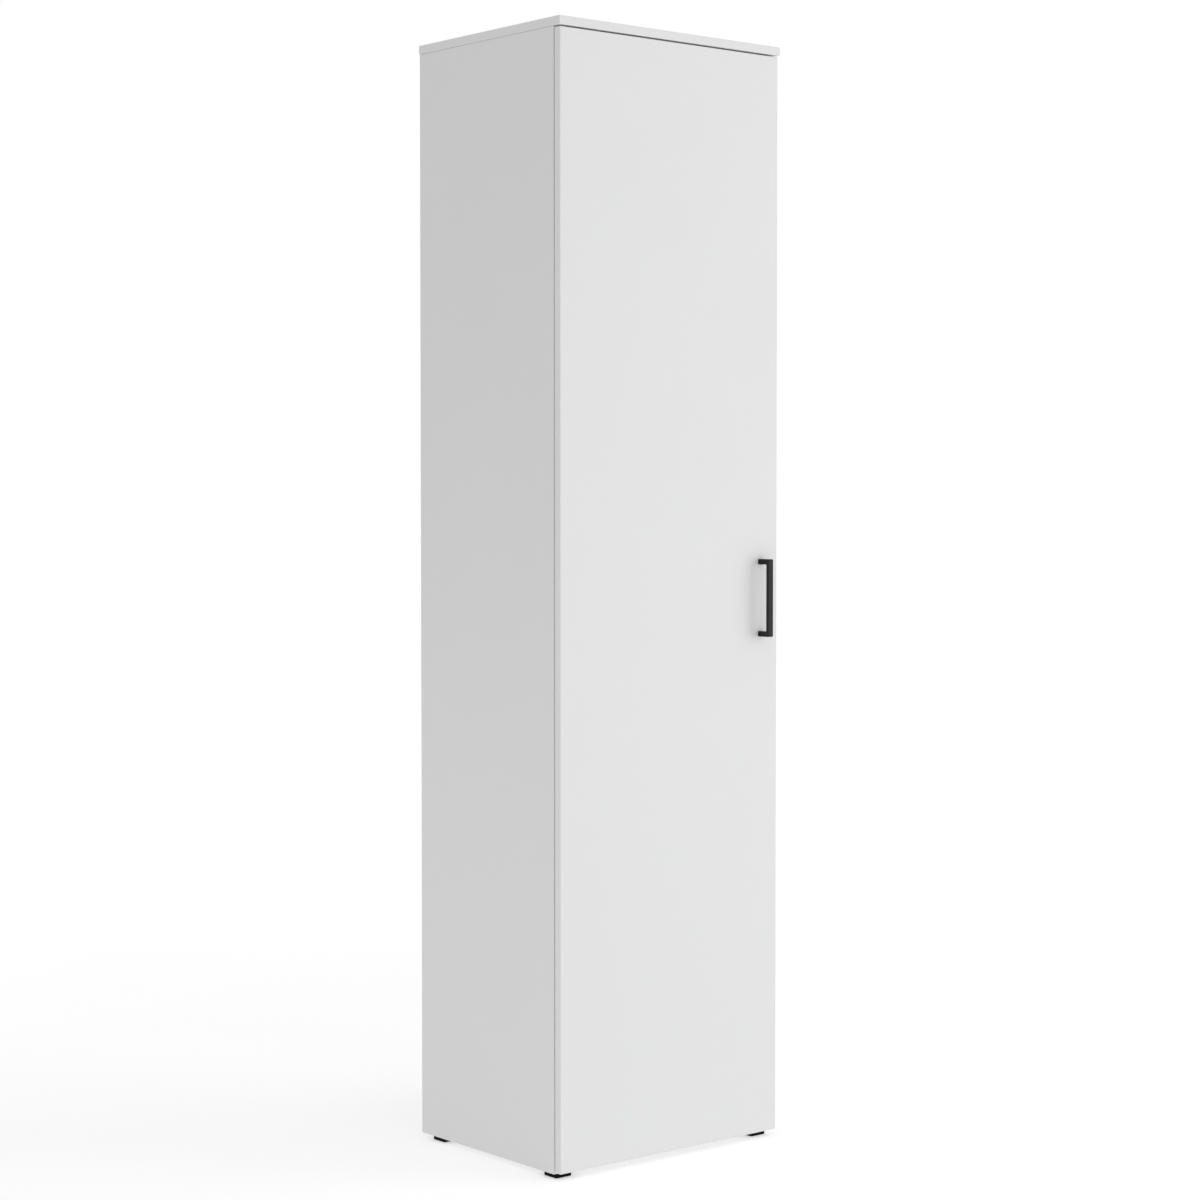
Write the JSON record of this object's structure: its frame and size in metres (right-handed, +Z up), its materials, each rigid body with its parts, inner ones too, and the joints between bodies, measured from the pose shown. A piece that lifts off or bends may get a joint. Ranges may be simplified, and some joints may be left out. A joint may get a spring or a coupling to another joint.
{
  "type": "storage cabinet",
  "caption": "Tall narrow storage cabinet with a full-height overlay door on concealed hinges, a D handle, shelves inside and low square feet.",
  "frame": {"origin": "on the floor, in the middle of the cabinet's overall width and depth", "axes": "+Z up; +X to the right seen from the front; +Y to the back; the door closes at -Y"},
  "size_m": [0.5014, 0.423, 1.9428],
  "materials": {
    "white_laminated_board": "white melamine laminate on chipboard, satin, faintly textured",
    "white_back_board": "thin fibreboard, painted white",
    "black_lacquered_metal": "black lacquer, satin",
    "black_plastic": "black moulded plastic, matt",
    "nickel_plated_steel": "nickel plated, satin",
    "zinc_plated_steel": "zinc plated, satin",
    "soft_clear_rubber": "soft clear bumper"
  },
  "bodies": {
    "cabinet": {"left_side_panel": "white_laminated_board", "right_side_panel": "white_laminated_board", "top_panel": "white_laminated_board", "bottom_panel": "white_laminated_board", "fixed_shelf": "white_laminated_board", "adjustable_shelf_1": "white_laminated_board", "adjustable_shelf_2": "white_laminated_board", "adjustable_shelf_3": "white_laminated_board", "adjustable_shelf_4": "white_laminated_board", "back_panel": "white_back_board", "shelf_cam_left_front": "zinc_plated_steel", "shelf_cam_left_back": "zinc_plated_steel", "shelf_cam_right_front": "zinc_plated_steel", "shelf_cam_right_back": "zinc_plated_steel", "shelf_1_pin_left_front": "nickel_plated_steel", "shelf_1_pin_left_back": "nickel_plated_steel", "shelf_1_pin_right_front": "nickel_plated_steel", "shelf_1_pin_right_back": "nickel_plated_steel", "shelf_2_pin_left_front": "nickel_plated_steel", "shelf_2_pin_left_back": "nickel_plated_steel", "shelf_2_pin_right_front": "nickel_plated_steel", "shelf_2_pin_right_back": "nickel_plated_steel", "shelf_3_pin_left_front": "nickel_plated_steel", "shelf_3_pin_left_back": "nickel_plated_steel", "shelf_3_pin_right_front": "nickel_plated_steel", "shelf_3_pin_right_back": "nickel_plated_steel", "shelf_4_pin_left_front": "nickel_plated_steel", "shelf_4_pin_left_back": "nickel_plated_steel", "shelf_4_pin_right_front": "nickel_plated_steel", "shelf_4_pin_right_back": "nickel_plated_steel", "foot_front_left": "black_plastic", "foot_front_right": "black_plastic", "foot_back_left": "black_plastic", "foot_back_right": "black_plastic", "hinge_plate_bottom": "nickel_plated_steel", "hinge_plate_lower_middle": "nickel_plated_steel", "hinge_plate_upper_middle": "nickel_plated_steel", "hinge_plate_top": "nickel_plated_steel", "hinge_arm_bottom": "nickel_plated_steel", "hinge_arm_lower_middle": "nickel_plated_steel", "hinge_arm_upper_middle": "nickel_plated_steel", "hinge_arm_top": "nickel_plated_steel", "door_bumper_lower": "soft_clear_rubber", "door_bumper_upper": "soft_clear_rubber", "wall_bracket": "zinc_plated_steel"},
    "hinge_links": {"hinge_link_bottom": "nickel_plated_steel", "hinge_link_lower_middle": "nickel_plated_steel", "hinge_link_upper_middle": "nickel_plated_steel", "hinge_link_top": "nickel_plated_steel"},
    "door": {"door_panel": "white_laminated_board", "handle": "black_lacquered_metal", "handle_screw_lower": "zinc_plated_steel", "handle_screw_upper": "zinc_plated_steel", "hinge_cup_bottom": "nickel_plated_steel", "hinge_cup_lower_middle": "nickel_plated_steel", "hinge_cup_upper_middle": "nickel_plated_steel", "hinge_cup_top": "nickel_plated_steel"}
  },
  "joints": [
    {"name": "link_swing", "type": "hinge", "parent": "cabinet", "child": "hinge_links", "pos_m": [-0.2202, -0.1759, 0], "axis": [0, 0, 1], "range_deg": [0, 31.4]},
    {"name": "door_swing", "type": "hinge", "parent": "hinge_links", "child": "door", "pos_m": [-0.2384, -0.1751, 0], "axis": [0, 0, -1], "range_deg": [0, 131.3]}
  ],
  "couplings": [
    {"joint": "link_swing", "follows": "door_swing", "ratio": 0.2384}
  ]
}
